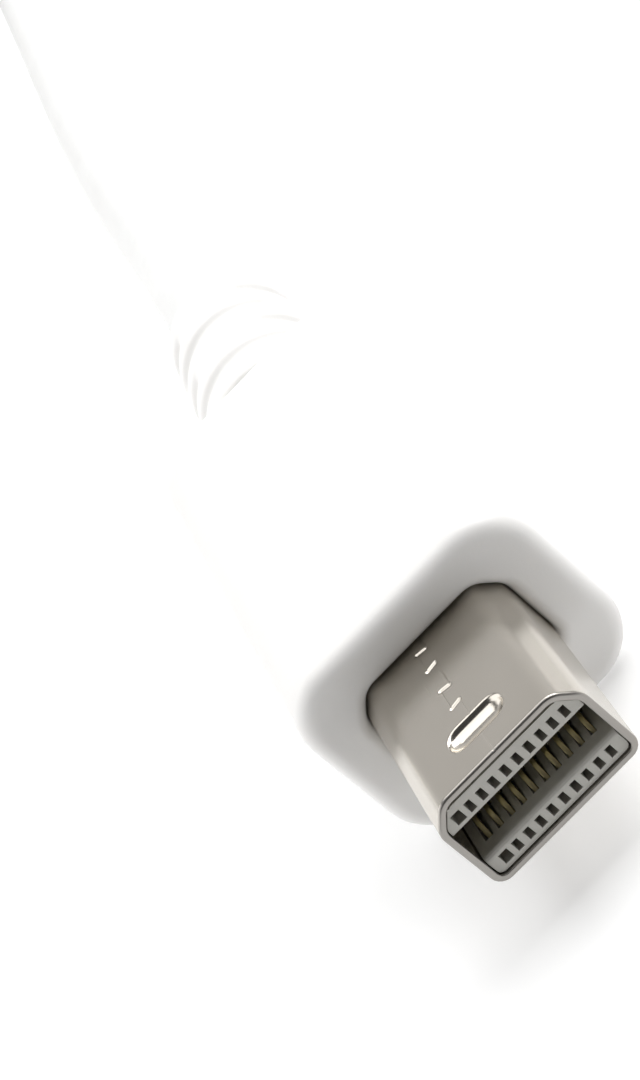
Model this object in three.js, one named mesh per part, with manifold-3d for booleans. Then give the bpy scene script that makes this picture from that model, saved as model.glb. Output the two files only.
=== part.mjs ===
// A video cable: a small latching plug, a white lead put away as a tied hank, and a wide plug on top of it.
// Millimetres. +Y runs from the small plug's mating end towards its cable, +X is to the right, +Z is up.
// The origin lies on the floor, under the middle of the small plug.

import * as THREE from 'three';
import { mergeVertices } from 'three/addons/utils/BufferGeometryUtils.js';
import Module from 'manifold-3d';

const wasm = await Module();
wasm.setup();

// Clearances
const SEAT_GAP = 0.1;
const SOCKET_GAP = 0.3;
const CORD_GAP = 0.3;
const CUT_PAST = 1;

// Small plug, metal shell rolled from sheet
const SHELL_WIDTH = 7.4;
const SHELL_HEIGHT = 4.5;
const SHELL_SHEET = 0.3;
const SHELL_REACH = 8.7;
const SHELL_ROOT = 4;
const CHAMFER_ACROSS = 0.88;
const CHAMFER_DOWN = 0.98;
const CHAMFER_ROUND = 0.66;
const SHELL_FOOT_ROUND = 0.6;

// Small plug, pressed dimple and the dovetailed seam on the shell's upper face
const DIMPLE_ACROSS = 2.8;
const DIMPLE_ALONG = 1.5;
const DIMPLE_FROM_TIP = 2.15;
const DIMPLE_DEPTH = 0.22;
const DIMPLE_BULGE = 0.12;
const DIMPLE_LIP = 0.2;
const SEAM_WIDTH = 0.1;
const SEAM_DEPTH = 0.12;
const SEAM_TAB_STARTS = [4, 7];
const SEAM_TAB_ALONG = 1.2;
const SEAM_TAB_ACROSS = 0.45;
const SEAM_TAB_FLARE = 0.1;

// Small plug, moulded contact block
const BLOCK_SET_BACK = 0.15;
const BLOCK_TOP_GAP = 0.28;
const BLOCK_LIP_GAP = 0.08;
const BLOCK_LIP_END = 1;
const BLOCK_SIDE_GAP = 0.05;
const BLOCK_END_GAP = 0.3;
const MOUTH_TOP = 0.8;
const MOUTH_BOTTOM = -0.92;
const MOUTH_LEAD = 0.25;
const MOUTH_DEPTH = 6.5;
const SLOT_COUNT = 10;
const SLOT_PITCH = 0.6;
const SLOT_WIDTH = 0.3;
const FIRST_SLOT_WIDTH = 0.44;
const SLOT_HEIGHT = 0.5;
const UPPER_SLOT_LEVEL = 1.2;
const LOWER_SLOT_LEVEL = -1.45;
const SLOT_BAR = 0.8;
const SLOT_DEPTH = 7.4;

// Small plug, spring contacts
const CONTACT_SHEET = 0.16;
const CONTACT_SIDE_GAP = 0.05;
const CONTACT_END_GAP = 0.2;
const CONTACT_BOW = 0.35;
const CONTACT_BOW_START = 3.6;
const CONTACT_BOW_LENGTH = 1.3;
const CONTACT_CROWN = 0.6;

// Small plug, white moulding and strain relief
const MOULD_WIDTH = 12.1;
const MOULD_HEIGHT = 9.6;
const MOULD_LENGTH = 25;
const MOULD_CORNER = 2.6;
const MOULD_EDGE = 0.6;
const MOULD_DROP = 0.34;
const MOULD_SHOULDER = 1.6;
const MOULD_SHOULDER_INSET = 1.1;
const RELIEF_LENGTH = 12.2;
const RELIEF_ROOT_RADIUS = 3.9;
const RELIEF_END_RADIUS = 3.2;
const RELIEF_GROOVES = 4;
const RELIEF_GROOVE_WIDTH = 0.9;
const RELIEF_GROOVE_DEPTH = 0.4;

// Wide plug, metal shell
const WIDE_SHELL_WIDTH = 13.9;
const WIDE_SHELL_HEIGHT = 4.5;
const WIDE_SHELL_SHEET = 0.35;
const WIDE_SHELL_REACH = 11.5;
const WIDE_SHELL_ROOT = 5;
const WIDE_SHELL_FOOT_WIDTH = 10.6;
const WIDE_SHELL_SIDE = 2.5;
const WIDE_SHELL_ROUND = 0.7;
const LATCH_WIDTH = 2.3;
const LATCH_LENGTH = 2;
const LATCH_SPACING = 5.8;
const LATCH_FROM_TIP = 5.2;

// Wide plug, contact block and contacts
const WIDE_BLOCK_GAP = 0.12;
const WIDE_BLOCK_SET_BACK = 0.4;
const WIDE_BLOCK_WALL = 0.5;
const WIDE_MOUTH_DEPTH = 9;
const WIDE_CONTACT_PITCH = 1;
const WIDE_UPPER_CONTACTS = 10;
const WIDE_LOWER_CONTACTS = 9;
const WIDE_CONTACT_WIDTH = 0.5;
const WIDE_CONTACT_SHEET = 0.28;
const WIDE_CONTACT_FROM_MOUTH = 1;
const WIDE_CONTACT_NOSE = 0.6;

// Wide plug, moulding and strain relief
const WIDE_MOULD_WIDTH = 20.4;
const WIDE_MOULD_HEIGHT = 10.6;
const WIDE_MOULD_LENGTH = 36;
const WIDE_MOULD_CORNER = 2.6;
const WIDE_RELIEF_LENGTH = 14;

// Cable, hank and strap
const CABLE_DIAMETER = 5;
const CABLE_LIFT = 0.1;
const CABLE_SIDES = 10;
const CABLE_STEP = 11;
const HANK_FRONT = 102;
const HANK_STRAIGHT = 48;
const HANK_INNER_FOLD = 16.2;
const HANK_TURN_PITCH = 5.2;
const HANK_LAYER_PITCH = 5.1;
const HANK_COLUMNS = 2;
const HANK_LAYERS = 4;
const HANK_ARC_STEPS = 10;
const HANK_EDGE = 1.5;
const STRAP_WIDTH = 12;
const STRAP_SHEET = 1.2;
const STRAP_CORNER = 1.8;
const STRAP_BEFORE_MIDDLE = 10;
const WIDE_PLUG_ASIDE = 11;
const TAIL_STRAIGHT = 6;
const TAIL_START_HEIGHT = 23.4;

// Route of the lead from the strain relief to the hank, seen from above, with its height over the floor
const LEAD_ROUTE = [
  [0, 23.3, 4.8],
  [0, 26, 4.76],
  [-0.1, 30, 4.35],
  [-0.3, 35, 3.5],
  [-0.5, 40, 2.8],
  [-0.65, 46, 2.6],
  [-0.6, 53, 2.6],
  [-0.3, 61, 2.6],
  [0.2, 70, 2.6],
  [0.85, 80, 2.6],
  [1.4, 89, 2.6],
  [1.8, 97, 2.6],
  [1.97, 104, 2.6],
  [2, 110.9, 2.6],
];

// Sizes that follow from the ones above
const MINI_LENGTH = SHELL_REACH + MOULD_LENGTH + SEAT_GAP + RELIEF_LENGTH;
const MINI_AXIS_HEIGHT = MOULD_HEIGHT / 2 + MOULD_DROP;
const CABLE_RADIUS = CABLE_DIAMETER / 2;
const HANK_OUTER_FOLD = HANK_INNER_FOLD + (HANK_COLUMNS - 1) * HANK_TURN_PITCH;
const HANK_HALF_WIDTH = HANK_OUTER_FOLD + CABLE_RADIUS;
const HANK_HOLE_HALF_WIDTH = HANK_INNER_FOLD - CABLE_RADIUS;
const HANK_HEIGHT = CABLE_LIFT + (HANK_LAYERS - 1) * HANK_LAYER_PITCH + CABLE_DIAMETER;
const HANK_X = LEAD_ROUTE[LEAD_ROUTE.length - 1][0] - HANK_OUTER_FOLD;
const HANK_Y = HANK_FRONT + HANK_HALF_WIDTH + HANK_STRAIGHT / 2;
const STRAP_Y = HANK_Y - STRAP_BEFORE_MIDDLE;
const STRAP_TOP = HANK_HEIGHT + CORD_GAP + STRAP_SHEET;
const WIDE_X = HANK_X - WIDE_PLUG_ASIDE;
const WIDE_Z = STRAP_TOP + SEAT_GAP + WIDE_MOULD_HEIGHT / 2;
const WIDE_LENGTH = WIDE_SHELL_REACH + WIDE_MOULD_LENGTH + SEAT_GAP + WIDE_RELIEF_LENGTH;
const WIDE_CORD_Y = HANK_Y + HANK_STRAIGHT / 2 - TAIL_STRAIGHT;

// Finishes
const steel = new THREE.MeshStandardMaterial({ color: 0x9a9288, roughness: 0.28, metalness: 1 });
const greyPlastic = new THREE.MeshStandardMaterial({ color: 0x8b8b8c, roughness: 0.55, metalness: 0 });
const blackPlastic = new THREE.MeshStandardMaterial({ color: 0x1c1c1e, roughness: 0.5, metalness: 0 });
const gilt = new THREE.MeshStandardMaterial({ color: 0xb59a55, roughness: 0.3, metalness: 1 });
const whiteMoulding = new THREE.MeshStandardMaterial({ color: 0xf0f0ee, roughness: 0.42, metalness: 0 });
const whiteJacket = new THREE.MeshStandardMaterial({ color: 0xebebe9, roughness: 0.5, metalness: 0 });
const whiteStrap = new THREE.MeshStandardMaterial({ color: 0xdededb, roughness: 0.9, metalness: 0 });

// Merges a geometry's shared vertices, drops folded triangles and turns its faces outwards
function weld(geometry) {
  geometry.deleteAttribute('normal');
  geometry.deleteAttribute('uv');
  const merged = mergeVertices(geometry, 1e-5);
  const index = merged.index.array;
  const spot = merged.attributes.position.array;
  const kept = [];
  let volume = 0;
  for (let i = 0; i < index.length; i += 3) {
    const [a, b, c] = [index[i], index[i + 1], index[i + 2]];
    if (a !== b && b !== c && c !== a) {
      kept.push(a, b, c);
      const [p, q, r] = [a, b, c].map((k) => new THREE.Vector3(spot[3 * k], spot[3 * k + 1], spot[3 * k + 2]));
      volume += p.dot(q.cross(r));
    }
  }
  merged.setIndex(volume < 0 ? kept.reverse() : kept);
  return merged;
}

// A geometry as a solid that can be joined and cut
function solid(geometry) {
  const closed = weld(geometry);
  return new wasm.Manifold(new wasm.Mesh({
    numProp: 3,
    vertProperties: new Float32Array(closed.attributes.position.array),
    triVerts: new Uint32Array(closed.index.array),
  }));
}

// A solid as a geometry again
function geometryOf(body) {
  const mesh = body.getMesh();
  const geometry = new THREE.BufferGeometry();
  geometry.setAttribute('position', new THREE.BufferAttribute(new Float32Array(mesh.vertProperties), 3));
  geometry.setIndex(Array.from(mesh.triVerts));
  return geometry;
}

// A named mesh of one piece
function piece(name, geometry, material) {
  const mesh = new THREE.Mesh(geometry, material);
  mesh.name = name;
  return mesh;
}

// Moves each edge of a convex outline inwards by the same distance
function inset(corners, distance) {
  return corners.map((corner, i) => {
    const before = corners[(i + corners.length - 1) % corners.length];
    const after = corners[(i + 1) % corners.length];
    const d1 = corner.clone().sub(before).normalize();
    const d2 = after.clone().sub(corner).normalize();
    const n1 = new THREE.Vector2(-d1.y, d1.x);
    const n2 = new THREE.Vector2(-d2.y, d2.x);
    const bisector = n1.clone().add(n2);
    return corner.clone().add(bisector.multiplyScalar(distance / (1 + n1.dot(n2))));
  });
}

// Rounds each corner of a convex outline with an arc of its own radius
function rounded(corners, radii, steps) {
  const points = [];
  corners.forEach((corner, i) => {
    const before = corners[(i + corners.length - 1) % corners.length];
    const after = corners[(i + 1) % corners.length];
    const back = before.clone().sub(corner).normalize();
    const on = after.clone().sub(corner).normalize();
    const half = Math.acos(back.dot(on)) / 2;
    const radius = radii[i];
    if (radius <= 0) {
      points.push(corner.clone());
      return;
    }
    const middle = back.clone().add(on).normalize();
    const centre = corner.clone().add(middle.multiplyScalar(radius / Math.sin(half)));
    const reach = radius / Math.tan(half);
    const start = corner.clone().add(back.multiplyScalar(reach)).sub(centre);
    const turn = Math.PI - 2 * half;
    for (let k = 0; k <= steps; k += 1) {
      points.push(start.clone().rotateAround(new THREE.Vector2(), turn * k / steps).add(centre));
    }
  });
  return points;
}

// Corners of a box seen along the plug, anticlockwise from its lower left
function boxCorners(width, height, level = 0) {
  return [
    new THREE.Vector2(-width / 2, level - height / 2),
    new THREE.Vector2(width / 2, level - height / 2),
    new THREE.Vector2(width / 2, level + height / 2),
    new THREE.Vector2(-width / 2, level + height / 2),
  ];
}

// Outline of a slot along Y about the origin: two straight sides joined by half circles
function slotOutline(straight, radius, steps) {
  const points = [];
  [1, -1].forEach((end) => {
    for (let k = 0; k <= steps; k += 1) {
      const angle = Math.PI * k / steps;
      points.push(new THREE.Vector2(end * radius * Math.cos(angle), end * (straight / 2 + radius * Math.sin(angle))));
    }
  });
  return points;
}

// Carries an outline in X and Z along Y, from front to back, with rounded end edges
function carried(points, front, back, edge = 0, holes = []) {
  const shape = new THREE.Shape(points);
  holes.forEach((hole) => shape.holes.push(new THREE.Path(hole)));
  const geometry = new THREE.ExtrudeGeometry(shape, {
    depth: back - front - 2 * edge,
    bevelEnabled: edge > 0,
    bevelThickness: edge,
    bevelSize: edge,
    bevelOffset: -edge,
    bevelSegments: 3,
  });
  geometry.rotateX(Math.PI / 2);
  geometry.translate(0, back - edge, 0);
  return geometry;
}

// A plain box between two corners
function boxBetween(low, high) {
  const geometry = new THREE.BoxGeometry(high[0] - low[0], high[1] - low[1], high[2] - low[2]);
  geometry.translate((low[0] + high[0]) / 2, (low[1] + high[1]) / 2, (low[2] + high[2]) / 2);
  return geometry;
}

// A bar along X whose section in Y and Z is an outline, centred on X = 0
function acrossBar(points, width) {
  const geometry = new THREE.ExtrudeGeometry(new THREE.Shape(points), { depth: width, bevelEnabled: false });
  geometry.rotateX(Math.PI / 2);
  geometry.rotateZ(Math.PI / 2);
  geometry.translate(-width / 2, 0, 0);
  return geometry;
}

// A sheet strip that follows bends in Y and Z, given by its middle line, and is as wide as its width in X
function bentStrip(line, sheet, width) {
  const left = [];
  const right = [];
  line.forEach((spot, i) => {
    const before = line[Math.max(i - 1, 0)];
    const after = line[Math.min(i + 1, line.length - 1)];
    const d1 = i > 0 ? spot.clone().sub(before).normalize() : after.clone().sub(spot).normalize();
    const d2 = i < line.length - 1 ? after.clone().sub(spot).normalize() : d1.clone();
    const n1 = new THREE.Vector2(-d1.y, d1.x);
    const n2 = new THREE.Vector2(-d2.y, d2.x);
    const mitre = n1.clone().add(n2).multiplyScalar(sheet / 2 / (1 + n1.dot(n2)));
    left.push(spot.clone().add(mitre));
    right.push(spot.clone().sub(mitre));
  });
  return acrossBar(left.concat(right.reverse()), width);
}

// Outline of the small plug's shell, with its chamfers up, moved inwards by a distance
function shellOutline(distance, topDistance = distance) {
  const [w, h] = [SHELL_WIDTH / 2, SHELL_HEIGHT / 2];
  const corners = [
    new THREE.Vector2(-w, -h),
    new THREE.Vector2(w, -h),
    new THREE.Vector2(w, h - CHAMFER_DOWN),
    new THREE.Vector2(w - CHAMFER_ACROSS, h),
    new THREE.Vector2(-w + CHAMFER_ACROSS, h),
    new THREE.Vector2(-w, h - CHAMFER_DOWN),
  ];
  const moved = inset(corners, distance);
  const foot = Math.max(SHELL_FOOT_ROUND - distance, 0);
  const chamfer = Math.max(CHAMFER_ROUND - distance, 0);
  const points = rounded(moved, [foot, foot, chamfer, chamfer, chamfer, chamfer], 3);
  const lowered = distance - topDistance;
  return points.map((p) => (p.y > 0 ? new THREE.Vector2(p.x, p.y + lowered) : p));
}

// Outline of the dimple, as a slot with round ends that lies across the shell
function dimpleOutline(shrink) {
  const round = DIMPLE_ALONG / 2 - shrink;
  const points = slotOutline(DIMPLE_ACROSS - DIMPLE_ALONG, round, 5);
  return points.map((p) => new THREE.Vector2(-p.y, p.x + DIMPLE_FROM_TIP));
}

// A flat slab of an outline in X and Y between two levels
function slab(points, low, high) {
  const geometry = new THREE.ExtrudeGeometry(new THREE.Shape(points), { depth: high - low, bevelEnabled: false });
  geometry.translate(0, 0, low);
  return geometry;
}

// Middle line of the seam: straight along the shell, with a flared tab to the left at each dovetail
function seamLine() {
  const spots = [[0, -CUT_PAST]];
  SEAM_TAB_STARTS.forEach((start) => {
    const end = start + SEAM_TAB_ALONG;
    spots.push([0, start], [-SEAM_TAB_ACROSS, start - SEAM_TAB_FLARE]);
    spots.push([-SEAM_TAB_ACROSS, end + SEAM_TAB_FLARE], [0, end]);
  });
  spots.push([0, SHELL_REACH + SHELL_ROOT + CUT_PAST]);
  return spots;
}

// Small plug's shell: rolled sheet with chamfered upper corners, pressed dimple and dovetailed seam
function miniShell() {
  const top = SHELL_HEIGHT / 2;
  const back = SHELL_REACH + SHELL_ROOT;
  let body = solid(carried(shellOutline(0), 0, back, 0, [shellOutline(SHELL_SHEET)]));
  const underside = top - SHELL_SHEET;
  body = body.add(solid(slab(dimpleOutline(DIMPLE_LIP / 2), underside - DIMPLE_BULGE, top - DIMPLE_DEPTH)));
  body = body.subtract(solid(slab(dimpleOutline(DIMPLE_LIP), top - DIMPLE_DEPTH, top + CUT_PAST)));
  body = body.subtract(solid(slab(dimpleOutline(0), top - DIMPLE_DEPTH / 3, top + CUT_PAST)));
  const spots = seamLine();
  for (let i = 1; i < spots.length; i += 1) {
    const [x0, y0] = spots[i - 1];
    const [x1, y1] = spots[i];
    const length = Math.hypot(x1 - x0, y1 - y0) + SEAM_WIDTH;
    const groove = new THREE.BoxGeometry(length, SEAM_WIDTH, 2 * SEAM_DEPTH);
    groove.rotateZ(Math.atan2(y1 - y0, x1 - x0));
    groove.translate((x0 + x1) / 2, (y0 + y1) / 2, top);
    body = body.subtract(solid(groove));
  }
  return piece('mini_plug_shell', geometryOf(body), steel);
}

// Where each slot of a row stands across the plug, with the wider first one
function slotPlaces() {
  return Array.from({ length: SLOT_COUNT }, (unused, i) => ({
    x: (i - (SLOT_COUNT - 1) / 2) * SLOT_PITCH,
    width: i === 0 ? FIRST_SLOT_WIDTH : SLOT_WIDTH,
  }));
}

// What the rounded front edge of the mouth's floor leaves out, as an outline in Y and Z
function mouthLead() {
  const corner = new THREE.Vector2(BLOCK_SET_BACK + MOUTH_LEAD, MOUTH_BOTTOM - MOUTH_LEAD);
  const arc = Array.from({ length: 5 }, (unused, k) => {
    const angle = Math.PI * (1 - k / 8);
    return new THREE.Vector2(Math.cos(angle), Math.sin(angle)).multiplyScalar(MOUTH_LEAD).add(corner);
  });
  const outside = BLOCK_SET_BACK - CUT_PAST;
  const above = MOUTH_BOTTOM + CUT_PAST;
  return [
    new THREE.Vector2(outside, corner.y),
    ...arc,
    new THREE.Vector2(corner.x, above),
    new THREE.Vector2(outside, above),
  ];
}

// Small plug's contact block: an upper and a lower bar joined at the back, with a row of slots in each
function miniBlock() {
  const back = SHELL_REACH + SHELL_ROOT - BLOCK_END_GAP;
  const side = SHELL_SHEET + BLOCK_SIDE_GAP;
  const outline = shellOutline(side, SHELL_SHEET + BLOCK_TOP_GAP);
  const lip = shellOutline(side, SHELL_SHEET + BLOCK_LIP_GAP);
  let body = solid(carried(outline, BLOCK_SET_BACK, back));
  body = body.add(solid(carried(lip, BLOCK_SET_BACK, BLOCK_LIP_END)));
  const mouthHalf = SHELL_WIDTH / 2 + CUT_PAST;
  body = body.subtract(solid(boxBetween(
    [-mouthHalf, -CUT_PAST, MOUTH_BOTTOM],
    [mouthHalf, MOUTH_DEPTH, MOUTH_TOP],
  )));
  body = body.subtract(solid(acrossBar(mouthLead(), 2 * mouthHalf)));
  const bar = BLOCK_SET_BACK + SLOT_BAR;
  slotPlaces().forEach(({ x, width }) => {
    [
      [UPPER_SLOT_LEVEL, MOUTH_TOP - SEAT_GAP, UPPER_SLOT_LEVEL + SLOT_HEIGHT / 2],
      [LOWER_SLOT_LEVEL, LOWER_SLOT_LEVEL - SLOT_HEIGHT / 2, MOUTH_BOTTOM + SEAT_GAP],
    ].forEach(([level, channelLow, channelHigh]) => {
      body = body.subtract(solid(boxBetween(
        [x - width / 2, -CUT_PAST, level - SLOT_HEIGHT / 2],
        [x + width / 2, SLOT_DEPTH, level + SLOT_HEIGHT / 2],
      )));
      body = body.subtract(solid(boxBetween(
        [x - width / 2, bar, channelLow],
        [x + width / 2, SLOT_DEPTH, channelHigh],
      )));
    });
  });
  return piece('mini_plug_contact_block', geometryOf(body), greyPlastic);
}

// One spring contact of the small plug: a strip in its slot that bows out into the mouth
function miniContact(name, x, level, towardsMouth, mouthLevel) {
  const slotWidth = SLOT_WIDTH - 2 * CONTACT_SIDE_GAP;
  const seat = level - towardsMouth * (SLOT_HEIGHT / 2 - CONTACT_SHEET / 2 - CONTACT_SIDE_GAP);
  const crown = mouthLevel + towardsMouth * CONTACT_BOW;
  const crownBack = CONTACT_BOW_START - CONTACT_BOW_LENGTH;
  const crownFront = crownBack - CONTACT_CROWN;
  const tip = BLOCK_SET_BACK + SLOT_BAR + CONTACT_END_GAP;
  const line = [
    [SLOT_DEPTH - CONTACT_END_GAP, seat],
    [CONTACT_BOW_START, seat],
    [crownBack, crown],
    [crownFront, crown],
    [tip, level],
  ].map(([y, z]) => new THREE.Vector2(y, z));
  const mesh = piece(name, weld(bentStrip(line, CONTACT_SHEET, slotWidth)), gilt);
  mesh.position.x = x;
  return mesh;
}

// Both rows of the small plug's contacts
function miniContacts() {
  const rows = [
    ['upper', UPPER_SLOT_LEVEL, -1, MOUTH_TOP],
    ['lower', LOWER_SLOT_LEVEL, 1, MOUTH_BOTTOM],
  ];
  return rows.flatMap(([row, level, towards, mouth]) => slotPlaces().map(({ x }, i) => (
    miniContact(`mini_plug_${row}_contact_${String(i + 1).padStart(2, '0')}`, x, level, towards, mouth)
  )));
}

// A moulding round a shell's root: a rounded bar with soft edges, a smaller shoulder behind and a socket
function moulding(size, socket) {
  const { width, height, length, corner, front, level } = size;
  const corners = boxCorners(width, height, level);
  const shoulderStart = front + length - MOULD_SHOULDER;
  const main = carried(rounded(corners, Array(4).fill(corner), 6), front, shoulderStart, MOULD_EDGE);
  const smaller = inset(corners, MOULD_SHOULDER_INSET);
  const shoulder = carried(
    rounded(smaller, Array(4).fill(corner - MOULD_SHOULDER_INSET), 6),
    shoulderStart - MOULD_SHOULDER,
    front + length,
    MOULD_EDGE,
  );
  const pocket = carried(socket.outline, front - CUT_PAST, front + socket.depth + SOCKET_GAP);
  return geometryOf(solid(main).add(solid(shoulder)).subtract(solid(pocket)));
}

// A strain relief: a tapered sleeve with ring grooves, turned about its own axis
function strainRelief(front, length, level) {
  const radiusAt = (share) => RELIEF_ROOT_RADIUS + (RELIEF_END_RADIUS - RELIEF_ROOT_RADIUS) * share;
  const profile = [new THREE.Vector2(0, 0), new THREE.Vector2(RELIEF_ROOT_RADIUS, 0)];
  for (let k = 1; k <= RELIEF_GROOVES; k += 1) {
    const middle = length * k / (RELIEF_GROOVES + 1);
    const radius = radiusAt(middle / length);
    const half = RELIEF_GROOVE_WIDTH / 2;
    const bottom = radius - RELIEF_GROOVE_DEPTH;
    profile.push(new THREE.Vector2(radius, middle - half), new THREE.Vector2(bottom, middle - half / 2));
    profile.push(new THREE.Vector2(bottom, middle + half / 2), new THREE.Vector2(radius, middle + half));
  }
  profile.push(new THREE.Vector2(RELIEF_END_RADIUS, length), new THREE.Vector2(0, length));
  const geometry = weld(new THREE.LatheGeometry(profile, 16));
  geometry.translate(0, front, level);
  return geometry;
}

// The whole small plug about its shell's axis, with its tip at y = 0
function miniPlug() {
  const plug = new THREE.Group();
  const size = {
    width: MOULD_WIDTH,
    height: MOULD_HEIGHT,
    length: MOULD_LENGTH,
    corner: MOULD_CORNER,
    front: SHELL_REACH,
    level: -MOULD_DROP,
  };
  const socket = { outline: shellOutline(-SOCKET_GAP), depth: SHELL_ROOT };
  plug.add(miniShell(), miniBlock(), ...miniContacts());
  plug.add(piece('mini_plug_moulding', moulding(size, socket), whiteMoulding));
  const reliefFront = SHELL_REACH + MOULD_LENGTH + SEAT_GAP;
  const relief = strainRelief(reliefFront, RELIEF_LENGTH, -MOULD_DROP);
  plug.add(piece('mini_plug_strain_relief', relief, whiteMoulding));
  plug.position.set(0, -MINI_LENGTH / 2, MINI_AXIS_HEIGHT);
  return plug;
}

// Outline of the wide plug's shell: straight upper sides and slanting lower ones, moved inwards
function wideOutline(distance) {
  const [w, h, foot] = [WIDE_SHELL_WIDTH / 2, WIDE_SHELL_HEIGHT / 2, WIDE_SHELL_FOOT_WIDTH / 2];
  const corners = [
    new THREE.Vector2(-foot, -h),
    new THREE.Vector2(foot, -h),
    new THREE.Vector2(w, h - WIDE_SHELL_SIDE),
    new THREE.Vector2(w, h),
    new THREE.Vector2(-w, h),
    new THREE.Vector2(-w, h - WIDE_SHELL_SIDE),
  ];
  const radius = Math.max(WIDE_SHELL_ROUND - distance, 0);
  return rounded(inset(corners, distance), Array(6).fill(radius), 3);
}

// Wide plug's shell, with two latch windows through its upper and lower sheets
function wideShell() {
  const back = WIDE_SHELL_REACH + WIDE_SHELL_ROOT;
  let body = solid(carried(wideOutline(0), 0, back, 0, [wideOutline(WIDE_SHELL_SHEET)]));
  [-1, 1].forEach((side) => {
    const middle = side * LATCH_SPACING / 2;
    body = body.subtract(solid(boxBetween(
      [middle - LATCH_WIDTH / 2, LATCH_FROM_TIP - LATCH_LENGTH / 2, -WIDE_SHELL_HEIGHT],
      [middle + LATCH_WIDTH / 2, LATCH_FROM_TIP + LATCH_LENGTH / 2, WIDE_SHELL_HEIGHT],
    )));
  });
  return piece('wide_plug_shell', geometryOf(body), steel);
}

// Wide plug's contact block: a lining of the shell with a mouth in front and a closed back
function wideBlock() {
  const lining = WIDE_SHELL_SHEET + WIDE_BLOCK_GAP;
  const back = WIDE_SHELL_REACH + WIDE_SHELL_ROOT - BLOCK_END_GAP;
  const body = solid(carried(wideOutline(lining), WIDE_BLOCK_SET_BACK, back));
  const mouth = solid(carried(wideOutline(lining + WIDE_BLOCK_WALL), -CUT_PAST, WIDE_MOUTH_DEPTH));
  return piece('wide_plug_contact_block', geometryOf(body.subtract(mouth)), blackPlastic);
}

// Wide plug's contacts: flat strips with a turned nose, along the upper and the lower wall of the mouth
function wideContacts() {
  const wall = WIDE_SHELL_HEIGHT / 2 - WIDE_SHELL_SHEET - WIDE_BLOCK_GAP - WIDE_BLOCK_WALL;
  const level = wall - SEAT_GAP - WIDE_CONTACT_SHEET / 2;
  const rows = [['upper', WIDE_UPPER_CONTACTS, 1], ['lower', WIDE_LOWER_CONTACTS, -1]];
  return rows.flatMap(([row, count, side]) => Array.from({ length: count }, (unused, i) => {
    const front = WIDE_BLOCK_SET_BACK + WIDE_CONTACT_FROM_MOUTH;
    const line = [
      [WIDE_MOUTH_DEPTH - SEAT_GAP, side * level],
      [front + WIDE_CONTACT_NOSE, side * level],
      [front, side * (level - WIDE_CONTACT_SHEET / 2)],
    ].map(([y, z]) => new THREE.Vector2(y, z));
    const name = `wide_plug_${row}_contact_${String(i + 1).padStart(2, '0')}`;
    const mesh = piece(name, weld(bentStrip(line, WIDE_CONTACT_SHEET, WIDE_CONTACT_WIDTH)), gilt);
    mesh.position.x = (i - (count - 1) / 2) * WIDE_CONTACT_PITCH;
    return mesh;
  }));
}

// The whole wide plug about its shell's axis, with its tip at y = 0
function widePlug() {
  const plug = new THREE.Group();
  const size = {
    width: WIDE_MOULD_WIDTH,
    height: WIDE_MOULD_HEIGHT,
    length: WIDE_MOULD_LENGTH,
    corner: WIDE_MOULD_CORNER,
    front: WIDE_SHELL_REACH,
    level: 0,
  };
  const socket = { outline: wideOutline(-SOCKET_GAP), depth: WIDE_SHELL_ROOT };
  plug.add(wideShell(), wideBlock(), ...wideContacts());
  plug.add(piece('wide_plug_moulding', moulding(size, socket), whiteMoulding));
  const reliefFront = WIDE_SHELL_REACH + WIDE_MOULD_LENGTH + SEAT_GAP;
  const relief = strainRelief(reliefFront, WIDE_RELIEF_LENGTH, 0);
  plug.add(piece('wide_plug_strain_relief', relief, whiteMoulding));
  plug.position.set(WIDE_X, WIDE_CORD_Y - CORD_GAP - WIDE_LENGTH, WIDE_Z);
  return plug;
}

// A tube of the cable's section along a route
function cableTube(name, route, length) {
  const section = Array.from({ length: CABLE_SIDES }, (unused, i) => {
    const angle = 2 * Math.PI * i / CABLE_SIDES;
    return new THREE.Vector2(CABLE_RADIUS * Math.cos(angle), CABLE_RADIUS * Math.sin(angle));
  });
  const curve = new THREE.CatmullRomCurve3(route.map(([x, y, z]) => new THREE.Vector3(x, y, z)));
  const geometry = new THREE.ExtrudeGeometry(new THREE.Shape(section), {
    steps: Math.ceil(length / CABLE_STEP),
    extrudePath: curve,
    bevelEnabled: false,
  });
  return piece(name, weld(geometry), whiteJacket);
}

// The lead from the small plug's strain relief to the hank
function cableLead() {
  const last = LEAD_ROUTE[LEAD_ROUTE.length - 1];
  return cableTube('cable_lead', LEAD_ROUTE, last[1] - LEAD_ROUTE[0][1]);
}

// The tail that comes up over the hank's far fold and turns back into the wide plug's strain relief
function cableTail() {
  const foldY = HANK_Y + HANK_STRAIGHT / 2;
  const middle = HANK_X + (HANK_OUTER_FOLD - WIDE_PLUG_ASIDE) / 2;
  const radius = (HANK_OUTER_FOLD + WIDE_PLUG_ASIDE) / 2;
  const rise = WIDE_Z - TAIL_START_HEIGHT;
  const route = [];
  for (let k = 0; k <= HANK_ARC_STEPS; k += 1) {
    const angle = Math.PI * k / HANK_ARC_STEPS;
    const share = (1 - Math.cos(angle)) / 2;
    route.push([
      middle + radius * Math.cos(angle),
      foldY + radius * Math.sin(angle),
      TAIL_START_HEIGHT + rise * share,
    ]);
  }
  route.push([WIDE_X, foldY - TAIL_STRAIGHT / 2, WIDE_Z], [WIDE_X, WIDE_CORD_Y, WIDE_Z]);
  return cableTube('cable_tail', route, Math.PI * radius + TAIL_STRAIGHT);
}

// Outline of the hank seen from above: two straight sides joined by round folds
function hankOutline(halfWidth) {
  const middle = new THREE.Vector2(HANK_X, HANK_Y);
  return slotOutline(HANK_STRAIGHT, halfWidth, HANK_ARC_STEPS).map((p) => p.add(middle));
}

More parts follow.
